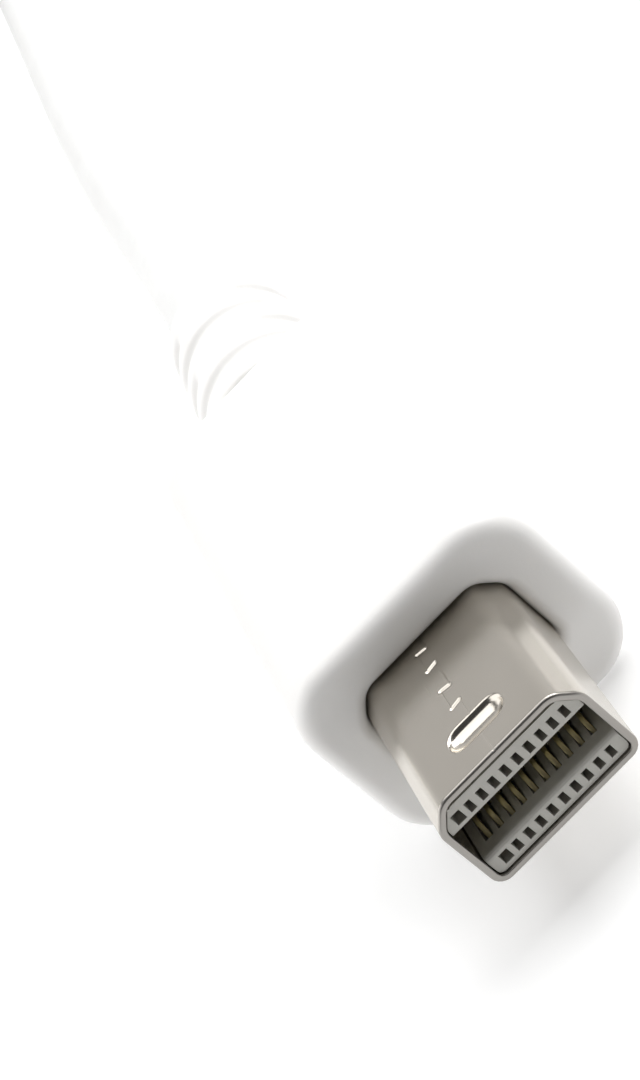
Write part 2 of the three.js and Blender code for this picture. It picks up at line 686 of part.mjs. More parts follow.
// The hank of wound cable, hollow in the middle, with a notch below for the strap
function cableHank() {
  const ring = new THREE.Shape(hankOutline(HANK_HALF_WIDTH));
  ring.holes.push(new THREE.Path(hankOutline(HANK_HOLE_HALF_WIDTH)));
  const wound = new THREE.ExtrudeGeometry(ring, {
    depth: HANK_HEIGHT - 2 * HANK_EDGE,
    bevelThickness: HANK_EDGE,
    bevelSize: HANK_EDGE,
    bevelOffset: -HANK_EDGE,
    bevelSegments: 2,
  });
  wound.translate(0, 0, HANK_EDGE);
  const body = solid(wound);
  const half = STRAP_WIDTH / 2 + CORD_GAP;
  const notch = boxBetween(
    [HANK_X - HANK_HALF_WIDTH - CUT_PAST, STRAP_Y - half, -CUT_PAST],
    [HANK_X + HANK_HALF_WIDTH + CUT_PAST, STRAP_Y + half, STRAP_SHEET + CORD_GAP],
  );
  return piece('cable_hank', geometryOf(body.subtract(solid(notch))), whiteJacket);
}

// The strap round the hank
function hankStrap() {
  const innerWidth = 2 * (HANK_HALF_WIDTH + CORD_GAP);
  const innerHeight = STRAP_TOP - 2 * STRAP_SHEET;
  const level = STRAP_TOP / 2;
  const inner = rounded(boxCorners(innerWidth, innerHeight, level), Array(4).fill(STRAP_CORNER - STRAP_SHEET), 3);
  const outerCorners = boxCorners(innerWidth + 2 * STRAP_SHEET, STRAP_TOP, level);
  const outer = rounded(outerCorners, Array(4).fill(STRAP_CORNER), 3);
  const geometry = weld(carried(outer, STRAP_Y - STRAP_WIDTH / 2, STRAP_Y + STRAP_WIDTH / 2, 0, [inner]));
  geometry.translate(HANK_X, 0, 0);
  return piece('hank_strap', geometry, whiteStrap);
}

const group = new THREE.Group();
group.add(miniPlug(), cableLead(), cableHank(), hankStrap(), cableTail(), widePlug());

export default group;
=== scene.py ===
import math

import bpy
import numpy as np
from mathutils import Matrix, Vector


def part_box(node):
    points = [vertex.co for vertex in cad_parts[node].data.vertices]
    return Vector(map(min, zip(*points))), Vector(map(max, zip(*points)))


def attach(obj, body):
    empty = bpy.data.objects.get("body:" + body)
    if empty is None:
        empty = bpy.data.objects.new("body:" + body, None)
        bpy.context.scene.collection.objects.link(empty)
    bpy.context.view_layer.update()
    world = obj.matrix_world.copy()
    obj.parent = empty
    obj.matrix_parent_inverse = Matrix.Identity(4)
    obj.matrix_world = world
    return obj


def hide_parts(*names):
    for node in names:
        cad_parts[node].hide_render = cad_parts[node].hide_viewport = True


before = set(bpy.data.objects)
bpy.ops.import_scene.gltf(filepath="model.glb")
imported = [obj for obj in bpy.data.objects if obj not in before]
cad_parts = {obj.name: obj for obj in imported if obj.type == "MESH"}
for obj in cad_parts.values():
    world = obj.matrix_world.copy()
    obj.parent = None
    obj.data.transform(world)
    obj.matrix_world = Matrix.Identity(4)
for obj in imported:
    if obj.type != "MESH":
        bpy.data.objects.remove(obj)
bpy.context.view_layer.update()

MM = 0.001

# Camera, in millimetres and degrees, as the photograph of 640 by 1080 was taken
CAMERA_SPOT = (15.16, -114.48, 68.2)
CAMERA_AIM = (-3.14, 10.5, 0.11)
CAMERA_ROLL = 49.84
CAMERA_LENS = 103.71
CAMERA_SENSOR = 36

# Small plug, in millimetres
SHELL_SHEET = 0.3
SHELL_CHAMFER = (0.88, 0.98)
SHELL_ROUNDS = (0.6, 0.6, 0.95, 0.95, 0.95, 0.95)
RIM_ROUND = 0.13
RIM_INNER_ROUND = 0.05
RIM_CUT = (0.06, 0.14)
BLOCK_LIP_END = 1.05
BLOCK_LIP_DROP = 0.09
DIMPLE_ALONG = 2.13
DIMPLE_HALF_STRAIGHT = 0.68
DIMPLE_SECTION = (
    (0, 0.35), (0.18, 0.335), (0.4, 0.26), (0.56, 0.17), (0.64, 0.05), (0.69, 0.012), (0.76, 0),
)
DIMPLE_INSIDE_SHARE = 0.6
DIMPLE_SOFTNESS = 0.025
SEAM_ALONG = (0.025, 0.03)
SEAM_ACROSS = (0.07, 0.07)
SEAM_TABS = ((4.0, 5.2), (7.0, 8.2))
SEAM_TAB_ACROSS = 0.45
SEAM_TAB_FLARE = 0.1
MOULD_CORNER = 2.6
MOULD_EDGE = 0.75
MOULD_SHOULDER = 1.6
MOULD_SHOULDER_INSET = 1.1
MOULD_COLUMNS = 240
SOCKET_DEPTH = 4.3
SOCKET_GAP = 0.03
SOCKET_FLARE = (0.55, 0.6)
SMALL_CONTACT_WIDTH = 0.2
SMALL_CONTACT_SHEET = 0.16

# Wide plug, in millimetres
WIDE_SHEET = 0.35
WIDE_FOOT_HALF_WIDTH = 5.3
WIDE_SIDE = 2.5
WIDE_ROUND = 0.7
WIDE_RIM_ROUND = 0.15
WIDE_RIM_INNER_ROUND = 0.08
WINDOW_WIDTH = 2.3
WINDOW_LENGTH = 2
WINDOW_FROM_TIP = 5.2
WINDOW_FROM_MIDDLE = 2.9
WINDOW_ROUND = 0.25
WIDE_SOCKET_DEPTH = 5.3
WIDE_CONTACT_WIDTH = 0.5
WIDE_CONTACT_SHEET = 0.28

# Edges of the contact blocks, in millimetres and degrees
BLOCK_BEVEL = 0.06
BEVEL_ANGLE = 35
WELD_GAP = 0.001

# Strain reliefs, in millimetres
RELIEF_ROOT_RADIUS = 3.9
RELIEF_END_RADIUS = 3.2
RELIEF_RIBS = 5
RELIEF_SLOT_DEPTH = 0.28
RELIEF_END_ROUND = 0.45
RELIEF_END_RINGS = (0.4, 2.2)

# Cable and hank, in millimetres
CABLE_DIAMETER = 5
CABLE_SIDES = 20
CABLE_REACH_IN = 1
RELAXING_PASSES = 6
LEAD_ROUTE = (
    (0, 23.3, 4.8),
    (0, 26, 4.76),
    (-0.1, 30, 4.35),
    (-0.3, 35, 3.5),
    (-0.5, 40, 2.8),
    (-0.65, 46, 2.6),
    (-0.6, 53, 2.6),
    (-0.3, 61, 2.6),
    (0.2, 70, 2.6),
    (0.85, 80, 2.6),
    (1.4, 89, 2.6),
    (1.8, 97, 2.6),
    (1.97, 104, 2.6),
    (2, 110.9, 2.6),
)
HANK_STRAIGHT = 48
HANK_INNER_FOLD = 16.2
HANK_OUTER_FOLD = 21.4
HANK_LAYER_PITCH = 5.1
HANK_LAYERS = 4
HANK_CLIMB_BULGE = 1.5
HANK_STEP = 1.5
TAIL_START_HEIGHT = 23.4
STRAP_SHEET = 1.2
STRAP_CLEARANCE = 0.25
STRAP_CORNER = 1.8
STRAP_THINNER = 0.1
STRAP_SHARES = (90, 44, 90, 44)
STRAP_FLAP_FROM = 30
STRAP_FLAP_TO = 46
STRAP_EASE = 14
STRAP_FLAP = 0.7

# Lights: name, spot, aim, size in metres, and radiance. Each is soft, and none stands before the plug.
DIM_SURROUNDINGS = 0.06
FLOOR_GLOW_NEAR = (0.37, 0.37, 0.37, 1)
FLOOR_GLOW_FAR = (0.9, 0.9, 0.9, 1)
LIGHTS = (
    ("overhead", (0, 0.25, 1.0), (0, 0.25, 0), (0.9, 0.9), 2.2),
    ("key", (0.82, 0.35, 0.9), (0, 0.05, 0), (0.9, 0.9), 5.8),
    ("left", (-1.2, 0.3, 0.6), (0, 0.3, 0.3), (2.0, 1.2), 1.9),
    ("right", (1.4, 0.3, 0.3), (0, 0.3, 0.3), (2.0, 0.6), 0.3),
    ("back_low", (0, 1.6, 0.19), (0, 0, 0.1), (2.6, 0.36), 1.25),
    ("back_high", (0, 1.6, 0.9), (0, 0, 0.1), (2.6, 1.0), 0.66),
)


def corners_of(node):
    """Lowest and highest corner of a node of the frame, in millimetres."""
    low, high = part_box(node)
    return np.array(low) / MM, np.array(high) / MM


def box_corners(half_width, half_height):
    """The four corners of a rectangle about the origin, anticlockwise from the lower left."""
    return np.array([(-1, -1), (1, -1), (1, 1), (-1, 1)]) * (half_width, half_height)


def unit(vectors):
    """Each vector over its own length."""
    return vectors / np.linalg.norm(vectors, axis=-1, keepdims=True)


def inset(corners, distance):
    """Corners of a convex outline with each edge moved inwards: corner plus distance times the sum of its
    two edge normals over one plus their product."""
    d1 = unit(corners - np.roll(corners, 1, 0))
    d2 = unit(np.roll(corners, -1, 0) - corners)
    n1 = np.stack([-d1[:, 1], d1[:, 0]], 1)
    n2 = np.stack([-d2[:, 1], d2[:, 0]], 1)
    return corners + distance * (n1 + n2) / (1 + (n1 * n2).sum(1, keepdims=True))


def ring_of(corners, radii, shares, bends):
    """Points round a convex outline. Each corner is an arc of its own radius about a centre on the corner's
    bisector, and each straight between two arcs is divided at its given shares of the length."""
    back = unit(np.roll(corners, 1, 0) - corners)
    onward = unit(np.roll(corners, -1, 0) - corners)
    half = np.arccos((back * onward).sum(1)) / 2
    centre = corners + unit(back + onward) * (radii / np.sin(half))[:, None]
    start = corners + back * (radii / np.tan(half))[:, None] - centre
    end = corners + onward * (radii / np.tan(half))[:, None]
    nexts = np.roll(start + centre, -1, 0)
    parts = []
    for i in range(len(corners)):
        angle = (math.pi - 2 * half[i]) * np.linspace(0, 1, bends)
        cos, sin = np.cos(angle), np.sin(angle)
        x = start[i, 0] * cos - start[i, 1] * sin
        y = start[i, 0] * sin + start[i, 1] * cos
        parts.append(centre[i] + np.stack([x, y], 1))
        parts.append(end[i] + (nexts[i] - end[i]) * np.asarray(shares[i])[:, None])
    return np.vstack(parts)


def even_shares(count):
    """Shares that divide a straight into equal steps, without its two ends."""
    return np.arange(1, count) / count


def polar_ring(outline, centre, angles):
    """The outline seen from a centre: its distance at each polar angle, read between its own points."""
    away = outline - centre
    turn = np.unwrap(np.arctan2(away[:, 1], away[:, 0]))
    far = np.hypot(away[:, 0], away[:, 1])
    order = np.argsort(turn % (2 * math.pi))
    turn, far = (turn % (2 * math.pi))[order], far[order]
    turn = np.concatenate([turn[-1:] - 2 * math.pi, turn, turn[:1] + 2 * math.pi])
    far = np.concatenate([far[-1:], far, far[:1]])
    radius = np.interp(angles, turn, far)
    return centre + np.stack([radius * np.cos(angles), radius * np.sin(angles)], 1)


def smooth_step(value):
    """0 below 0, 1 above 1, and 3 t squared minus 2 t cubed between."""
    t = np.clip(value, 0, 1)
    return t * t * (3 - 2 * t)


def surface(name, grids, ends, finish, attributes=None):
    """One closed mesh from grids of points, each a ring of columns for every row. The rings close on
    themselves. ends is joined, where the last ring meets the first, or capped, where a fan closes each end.
    A grid whose volume is negative has its faces turned."""
    spots, faces, offset = [], [], 0
    for grid in grids:
        rows, columns = grid.shape[:2]
        index = np.arange(rows * columns).reshape(rows, columns)
        nexts = np.roll(index, -1, 0) if ends == "joined" else index[1:]
        here = index if ends == "joined" else index[:-1]
        quads = np.stack([here, np.roll(here, -1, 1), np.roll(nexts, -1, 1), nexts], -1).reshape(-1, 4)
        points = grid.reshape(-1, 3)
        fans = np.zeros((0, 3), int)
        if ends == "capped":
            middles = np.stack([grid[0].mean(0), grid[-1].mean(0)])
            points = np.vstack([points, middles])
            first, last = len(points) - 2, len(points) - 1
            front = np.stack([np.full(columns, first), np.roll(index[0], -1), index[0]], 1)
            rear = np.stack([np.full(columns, last), index[-1], np.roll(index[-1], -1)], 1)
            fans = np.vstack([front, rear])
        a, b, c, d = (points[quads[:, k]] for k in range(4))
        volume = (np.cross(b, c) * a).sum() + (np.cross(c, d) * a).sum()
        if len(fans):
            a, b, c = (points[fans[:, k]] for k in range(3))
            volume += (np.cross(b, c) * a).sum()
        if volume < 0:
            quads, fans = quads[:, ::-1], fans[:, ::-1]
        spots.append(points)
        faces += (quads + offset).tolist() + (fans + offset).tolist()
        offset += len(points)
    mesh = bpy.data.meshes.new(name)
    mesh.from_pydata((np.vstack(spots) * MM).tolist(), [], faces)
    mesh.polygons.foreach_set("use_smooth", np.ones(len(faces), bool))
    for key, values in (attributes or {}).items():
        filled = np.zeros(offset)
        filled[:values.size] = values.ravel()
        mesh.attributes.new(key, "FLOAT", "POINT").data.foreach_set("value", filled)
    mesh.update()
    return piece_of(name, mesh, finish)


def piece_of(name, mesh, finish):
    """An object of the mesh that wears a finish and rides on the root."""
    piece = bpy.data.objects.new(name, mesh)
    bpy.context.scene.collection.objects.link(piece)
    mesh.materials.append(finish)
    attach(piece, "root")
    return piece


def softened(name, node, width, finish, lip_end=0, lip_drop=0):
    """A copy of a node with its shared points merged and its edges bevelled. The highest points between the
    front and the lip's end drop by the lip's drop."""
    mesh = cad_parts[node].data.copy()
    mesh.name = name
    mesh.materials.clear()
    spots = np.zeros(3 * len(mesh.vertices))
    mesh.vertices.foreach_get("co", spots)
    spots = spots.reshape(-1, 3)
    top, front = spots[:, 2].max(), spots[:, 1].min()
    lip = (spots[:, 1] < front + lip_end * MM) & (spots[:, 2] > top - lip_drop * MM)
    spots[lip, 2] -= lip_drop * MM
    mesh.vertices.foreach_set("co", spots.ravel())
    piece = piece_of(name, mesh, finish)
    weld = piece.modifiers.new("Weld", "WELD")
    weld.merge_threshold = WELD_GAP * MM
    bevel = piece.modifiers.new("Bevel", "BEVEL")
    bevel.width = width * MM
    bevel.segments = 2
    bevel.limit_method = "ANGLE"
    bevel.angle_limit = math.radians(BEVEL_ANGLE)
    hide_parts(node)
    return piece


class Value:
    """A number in a finish's node tree. Sums and products add Math nodes."""

    def __init__(self, finish, socket):
        self.finish = finish
        self.socket = socket

    def maths(self, operation, first, second):
        """A Math node on two numbers."""
        return self.finish.node("ShaderNodeMath", {"operation": operation}, {0: first, 1: second})

    def __add__(self, other):
        return self.maths("ADD", self, other)

    def __radd__(self, other):
        return self.maths("ADD", other, self)

    def __mul__(self, other):
        return self.maths("MULTIPLY", self, other)

    def __rmul__(self, other):
        return self.maths("MULTIPLY", other, self)


class Finish:
    """A material: constants go straight on the shader's sockets, and node() adds any other node."""

    def __init__(self, name, constants):
        self.material = bpy.data.materials.new(name)
        self.material.use_nodes = True
        self.tree = self.material.node_tree
        self.shader = self.tree.nodes["Principled BSDF"]
        self.join(self.shader, constants)

    def join(self, node, inputs):
        """Links each input that is a Value, and sets the others."""
        for key, value in inputs.items():
            if isinstance(value, Value):
                self.tree.links.new(value.socket, node.inputs[key])
            else:
                node.inputs[key].default_value = value

    def node(self, kind, settings=None, inputs=None, output=0):
        """One of a node's outputs. Its settings are set before its inputs."""
        made = self.tree.nodes.new(kind)
        for key, value in (settings or {}).items():
            setattr(made, key, value)
        self.join(made, inputs or {})
        return Value(self, made.outputs[output])

    def place(self, scale):
        """Object coordinates, stretched by a scale for each axis, in cycles a metre."""
        spot = self.node("ShaderNodeTexCoord", output="Object")
        return self.node("ShaderNodeMapping", {}, {"Vector": spot, "Scale": scale})

    def noise(self, scale, detail=3, roughness=0.5):
        """Noise from 0 to 1 with the given cycles a metre along each axis."""
        inputs = {"Vector": self.place(scale), "Scale": 1, "Detail": detail, "Roughness": roughness}
        return self.node("ShaderNodeTexNoise", {}, inputs)

    def attribute(self, name):
        """A number that the mesh holds at each point."""
        return self.node("ShaderNodeAttribute", {"attribute_name": name}, output="Fac")

    def tint(self, share, low, high):
        """A colour between two, by a share from 0 to 1."""
        mix = self.tree.nodes.new("ShaderNodeMix")
        mix.data_type = "RGBA"
        for key, value in (("Factor", share), ("A", low), ("B", high)):
            socket = [s for s in mix.inputs if s.name == key and s.enabled][0]
            if isinstance(value, Value):
                self.tree.links.new(value.socket, socket)
            else:
                socket.default_value = value
        return Value(self, [s for s in mix.outputs if s.enabled][0])

    def bump(self, height, strength, distance):
        """A normal from a height map, its distance in metres."""
        inputs = {"Height": height, "Strength": strength, "Distance": distance}
        return self.node("ShaderNodeBump", {}, inputs)

    def wear(self, inputs):
        """The material, once its shader has these inputs."""
        self.join(self.shader, inputs)
        return self.material


def shell_metal():
    """Satin nickel plate: fine lengthwise rolling marks, cloudy handling haze, a faint warm tone and a
    duller cut edge."""
    finish = Finish("shell_metal", {"Metallic": 1.0})
    marks = finish.noise((12000, 260, 12000), detail=3, roughness=0.5)
    haze = finish.noise((520, 240, 520), detail=2)
    cut = finish.attribute("cut")
    plate = finish.tint(haze, (0.53, 0.495, 0.44, 1), (0.58, 0.545, 0.49, 1))
    colour = finish.tint(cut, plate, (0.31, 0.295, 0.275, 1))
    rough = 0.18 + haze * 0.07 + marks * 0.06 + cut * 0.12
    return finish.wear({"Base Color": colour, "Roughness": rough})


def grey_resin():
    """Glass-filled grey resin: pale grey with fine specks and a matt, lightly pitted face."""
    finish = Finish("block_grey", {"IOR": 1.5})
    specks = finish.noise((7000, 7000, 7000), detail=2)
    cloud = finish.noise((700, 700, 700), detail=3)
    colour = finish.tint(cloud * 0.6 + specks * 0.4, (0.41, 0.40, 0.365, 1), (0.51, 0.50, 0.46, 1))
    normal = finish.bump(specks, 0.25, 0.00002)
    return finish.wear({"Base Color": colour, "Roughness": 0.42 + cloud * 0.2, "Normal": normal})


def black_resin():
    """Black moulded resin with a fine grain."""
    finish = Finish("block_dark", {})
    specks = finish.noise((6000, 6000, 6000), detail=2)
    colour = finish.tint(specks, (0.012, 0.012, 0.013, 1), (0.028, 0.028, 0.03, 1))
    normal = finish.bump(specks, 0.2, 0.00002)
    return finish.wear({"Base Color": colour, "Roughness": 0.38 + specks * 0.2, "Normal": normal})


def gilt():
    """Thin gilt plating over nickel, a little greyer where the plating is thin."""
    finish = Finish("contact_gilt", {"Metallic": 1.0})
    cloud = finish.noise((1600, 900, 1600), detail=3)
    colour = finish.tint(cloud, (0.50, 0.44, 0.24, 1), (0.66, 0.58, 0.34, 1))
    return finish.wear({"Base Color": colour, "Roughness": 0.28 + cloud * 0.2})


def white_moulding():
    """Satin white soft plastic: fine spark-eroded grain, slight waviness and a warm-grey cloudiness."""
    finish = Finish("moulding_white", {"Subsurface Weight": 0.12, "Subsurface Radius": (0.9, 0.85, 0.8)})
    finish.shader.inputs["Subsurface Scale"].default_value = 0.0008
    grain = finish.noise((5200, 5200, 5200), detail=2)
    cloud = finish.noise((160, 160, 160), detail=2)
    colour = finish.tint(cloud, (0.80, 0.79, 0.775, 1), (0.86, 0.85, 0.835, 1))
    normal = finish.bump(grain, 0.18, 0.00003)
    return finish.wear({"Base Color": colour, "Roughness": 0.36 + grain * 0.1, "Normal": normal})


def white_jacket():
    """Satin cable jacket: extruded along its length, with faint rings, scuffs and clouding."""
    finish = Finish("cable_white", {"Subsurface Weight": 0.08, "Subsurface Radius": (0.9, 0.85, 0.8)})
    finish.shader.inputs["Subsurface Scale"].default_value = 0.0006
    grain = finish.noise((3600, 3600, 3600), detail=2)
    scuffs = finish.noise((380, 380, 380), detail=4, roughness=0.65)
    colour = finish.tint(scuffs, (0.76, 0.76, 0.75, 1), (0.85, 0.85, 0.845, 1))
    normal = finish.bump(grain * 0.4 + scuffs * 0.6, 0.16, 0.00006)
    return finish.wear({"Base Color": colour, "Roughness": 0.38 + scuffs * 0.16, "Normal": normal})


def white_strap():
    """Woven strap: two sine ribs across each other give the weave, with painted shade that darkens the gaps
    between the yarns.
    """
    finish = Finish("strap_white", {"Sheen Weight": 0.35, "Sheen Roughness": 0.5})
    along = finish.attribute("along") * (2 * math.pi / 0.9)
    across = finish.attribute("across") * (2 * math.pi / 0.9)
    warp = finish.node("ShaderNodeMath", {"operation": "SINE"}, {0: along})
    weft = finish.node("ShaderNodeMath", {"operation": "SINE"}, {0: across})
    weave = warp * weft * 0.5 + 0.5
    fuzz = finish.noise((2600, 2600, 2600), detail=4, roughness=0.7)
    # The colour darkens where the weave is low: painted shade in the gaps between the yarns. The fuzz share
    # is the yarn's own mottling.
    colour = finish.tint(weave * 0.6 + fuzz * 0.4, (0.55, 0.55, 0.54, 1), (0.82, 0.82, 0.80, 1))
    normal = finish.bump(weave * 0.7 + fuzz * 0.3, 0.7, 0.0003)
    return finish.wear({"Base Color": colour, "Roughness": 0.75 + fuzz * 0.2, "Normal": normal})


def floor_white():
    """Pale matt floor with a very faint mottling. It glows a little, and more so far from the object,
    where the lights fall off."""
    finish = Finish("floor_pale", {"Roughness": 0.8, "Specular IOR Level": 0.2, "Emission Strength": 1})
    cloud = finish.noise((14, 14, 14), detail=2)
    spot = finish.place((1, 1, 1))
    reach = finish.node("ShaderNodeVectorMath", {"operation": "LENGTH"}, {0: spot}, "Value")
    far = finish.node("ShaderNodeMapRange", {}, {"Value": reach, "From Min": 0.45, "From Max": 1.5})
    glow = finish.tint(far, FLOOR_GLOW_NEAR, FLOOR_GLOW_FAR)
    pale = finish.tint(cloud, (0.67, 0.67, 0.67, 1), (0.69, 0.69, 0.69, 1))
    return finish.wear({"Base Color": pale, "Emission Color": glow})


def add_camera():
    """The camera at the photograph's place: it looks from its spot to its aim, rolled about that line."""
    data = bpy.data.cameras.new("camera")
    data.sensor_width = CAMERA_SENSOR
    data.lens = CAMERA_LENS
    data.clip_start = 0.001
    camera = bpy.data.objects.new("camera", data)
    bpy.context.scene.collection.objects.link(camera)
    spot = Vector(CAMERA_SPOT) * MM
    ahead = (Vector(CAMERA_AIM) * MM - spot).normalized()
    level_right = ahead.cross(Vector((0, 0, 1))).normalized()
    level_up = level_right.cross(ahead)
    roll = math.radians(CAMERA_ROLL)
    up = math.cos(roll) * level_up + math.sin(roll) * level_right
    right = ahead.cross(up)
    turn = Matrix((right, up, -ahead)).transposed()
    camera.matrix_world = Matrix.Translation(spot) @ turn.to_4x4()
    bpy.context.scene.camera = camera


def smooth_route(points, step):
    """A centripetal Catmull-Rom curve through the points, read at equal steps along its length."""
    p = np.array(points, float)
    p = np.vstack([2 * p[0] - p[1], p, 2 * p[-1] - p[-2]])
    knots = np.concatenate([[0], np.cumsum(np.sqrt(np.linalg.norm(np.diff(p, axis=0), axis=1)))])
    pieces = []
    for i in range(1, len(p) - 2):
        t0, t1, t2, t3 = knots[i - 1:i + 3]
        t = np.linspace(t1, t2, 24, endpoint=False)[:, None]
        a1 = (t1 - t) / (t1 - t0) * p[i - 1] + (t - t0) / (t1 - t0) * p[i]
        a2 = (t2 - t) / (t2 - t1) * p[i] + (t - t1) / (t2 - t1) * p[i + 1]
        a3 = (t3 - t) / (t3 - t2) * p[i + 1] + (t - t2) / (t3 - t2) * p[i + 2]
        b1 = (t2 - t) / (t2 - t0) * a1 + (t - t0) / (t2 - t0) * a2
        b2 = (t3 - t) / (t3 - t1) * a2 + (t - t1) / (t3 - t1) * a3
        pieces.append((t2 - t) / (t2 - t1) * b1 + (t - t1) / (t2 - t1) * b2)
    line = np.vstack(pieces + [p[-2:-1]])
    return even_line(line, step)


def even_line(line, step):
    """The same line with its points at equal steps along its length."""
    along = np.concatenate([[0], np.cumsum(np.linalg.norm(np.diff(line, axis=0), axis=1))])
    marks = np.linspace(0, along[-1], int(along[-1] / step) + 1)
    return np.stack([np.interp(marks, along, line[:, k]) for k in range(3)], 1)


def hank_route(hank_x, hank_y, strap_y, strap_half):
    """The wound turns. Each turn runs up the right, round the far fold, down the left and round the near
    fold, where it eases to the next column or layer. Over the strap a turn lifts by the strap's sheet, less
    in each higher layer."""
    columns = [HANK_OUTER_FOLD, HANK_INNER_FOLD, HANK_INNER_FOLD, HANK_OUTER_FOLD] * HANK_LAYERS
    floor_level = LEAD_ROUTE[-1][2]
    half = HANK_STRAIGHT / 2
    up = np.linspace(-half, half, 33)[:-1]
    fold = np.linspace(0, math.pi, 41)[:-1]
    ease = (1 - np.cos(fold)) / 2
    line = []
    turns = 2 * HANK_LAYERS - 1
    for turn in range(turns):
        fold_radius, next_radius = columns[turn], columns[turn + 1]
        level = floor_level + HANK_LAYER_PITCH * (turn // 2)
        climb = HANK_LAYER_PITCH * ((turn + 1) // 2 - turn // 2)
        side = 1 if fold_radius == HANK_OUTER_FOLD else -1
        bulge = HANK_CLIMB_BULGE * side * (climb > 0) * np.sin(fold)
        near = fold_radius + (next_radius - fold_radius) * ease + bulge
        flat = np.full_like(up, level)
        line.append(np.stack([np.full_like(up, fold_radius), up, flat], 1))
        line.append(np.stack([
            fold_radius * np.cos(fold),
            half + fold_radius * np.sin(fold),
            np.full_like(fold, level),
        ], 1))
        line.append(np.stack([np.full_like(up, -fold_radius), -up, flat], 1))
        height = level + climb * ease
        line.append(np.stack([-near * np.cos(fold), -half - near * np.sin(fold), height], 1))
    line = np.vstack(line) + (hank_x, hank_y, 0)
    layer = (line[:, 2] - floor_level) / (HANK_LAYER_PITCH * (HANK_LAYERS - 1))
    near_strap = 1 - smooth_step((np.abs(line[:, 1] - strap_y) - strap_half) / STRAP_EASE)
    line[:, 2] += (STRAP_SHEET + STRAP_CLEARANCE) * (1 - layer) * near_strap
    return line


def tail_route(hank_x, hank_y, strap_end, wide_x, wide_z, cord_end):
    """The last run up the top layer's right side, which rises past the strap, then a half circle over the
    far fold into the wide plug, its height easing from the hank's top to the plug's axis."""
    half = HANK_STRAIGHT / 2
    start_level = LEAD_ROUTE[-1][2] + HANK_LAYER_PITCH * (HANK_LAYERS - 1)
    y = np.linspace(hank_y - half, hank_y + half, 40)[:-1]
    rise = smooth_step((y - strap_end) / (hank_y + half - strap_end))
    right = hank_x + HANK_OUTER_FOLD
    run = np.stack([np.full_like(y, right), y, start_level + (TAIL_START_HEIGHT - start_level) * rise], 1)
    middle, radius = (right + wide_x) / 2, (right - wide_x) / 2
    fold = np.linspace(0, math.pi, 41)
    turn = np.stack([
        middle + radius * np.cos(fold),
        hank_y + half + radius * np.sin(fold),
        TAIL_START_HEIGHT + (wide_z - TAIL_START_HEIGHT) * (1 - np.cos(fold)) / 2,
    ], 1)
    end = np.array([[wide_x, cord_end, wide_z]])
    return np.vstack([run, turn, end])


def relaxed(line, passes):
    """The line with each inner point drawn to its neighbours' mean a few times, which rounds its joins."""
    for _ in range(passes):
        line = line.copy()
        line[1:-1] = line[1:-1] * 0.5 + (line[:-2] + line[2:]) * 0.25
    return line


def tube(line, radius, sides):
    """Circles about a line. Each one's first axis is the last one's with its part along the line taken
    out, so they don't twist."""
    ahead = unit(np.gradient(line, axis=0))
    side = np.zeros_like(line)
    side[0] = unit(np.cross(ahead[0], (0, 0, 1)))
    for i in range(1, len(line)):
        kept = side[i - 1] - (side[i - 1] @ ahead[i]) * ahead[i]
        side[i] = kept / np.linalg.norm(kept)
    other = np.cross(ahead, side)
    angle = np.linspace(0, 2 * math.pi, sides, endpoint=False)
    cos, sin = np.cos(angle)[:, None], np.sin(angle)[:, None]
    return line[:, None] + radius * (side[:, None] * cos + other[:, None] * sin)


def add_cable(finish):
    """The whole lead: from inside the small strain relief, over the floor, round the hank and into the wide
    plug's strain relief."""
    hank_low, hank_high = corners_of("cable_hank")
    strap_low, strap_high = corners_of("hank_strap")
    relief_low, relief_high = corners_of("wide_plug_strain_relief")
    hank_x, hank_y = (hank_low[:2] + hank_high[:2]) / 2
    strap_y = (strap_low[1] + strap_high[1]) / 2
    strap_half = (strap_high[1] - strap_low[1]) / 2
    wide_x, wide_z = (relief_low[0] + relief_high[0]) / 2, (relief_low[2] + relief_high[2]) / 2
    exit_y = corners_of("mini_plug_strain_relief")[1][1]
    first = LEAD_ROUTE[0]
    lead = smooth_route(((first[0], exit_y - CABLE_REACH_IN, first[2]),) + LEAD_ROUTE, HANK_STEP)
    turns = hank_route(hank_x, hank_y, strap_y, strap_half)
    strap_end = strap_y + strap_half
    tail = tail_route(hank_x, hank_y, strap_end, wide_x, wide_z, relief_high[1] - CABLE_REACH_IN)
    line = even_line(np.vstack([lead, turns, tail]), HANK_STEP)
    line = even_line(relaxed(line, RELAXING_PASSES), HANK_STEP)
    rings = tube(line, CABLE_DIAMETER / 2, CABLE_SIDES)
    cable = surface("cable", [rings], "capped", finish)
    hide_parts("cable_lead", "cable_hank", "cable_tail")
    exit_spot = (first[0] * MM, exit_y * MM, first[2] * MM)
    return cable, line * MM, exit_spot


def shell_corners(half_width, half_height):
    """The small shell's six corners, anticlockwise from the lower left, with its chamfers up."""
    across, down = SHELL_CHAMFER
    return np.array([
        (-half_width, -half_height),
        (half_width, -half_height),
        (half_width, half_height - down),
        (half_width - across, half_height),
        (-half_width + across, half_height),
        (-half_width, half_height - down),
    ])


def wall_rows(front, sheet, outer_round, inner_round, outer_rows, inner_rows):
    """Rows of a sheet's closed section as places along the plug and depths into the sheet: forwards along
    the outside, round the rim's two rounded edges, and back along the inside."""
    quarter = np.linspace(0, math.pi / 2, 6)
    outside = np.stack([outer_rows[::-1], np.zeros(len(outer_rows))], 1)
    rise, fall = 1 - np.cos(quarter), 1 - np.sin(quarter)
    outer_edge = np.stack([front + outer_round * fall, outer_round * rise], 1)
    inner_edge = np.stack([front + inner_round * rise, sheet - inner_round * fall], 1)
    inside = np.stack([inner_rows, np.full(len(inner_rows), sheet)], 1)
    return np.vstack([outside, outer_edge, inner_edge, inside])


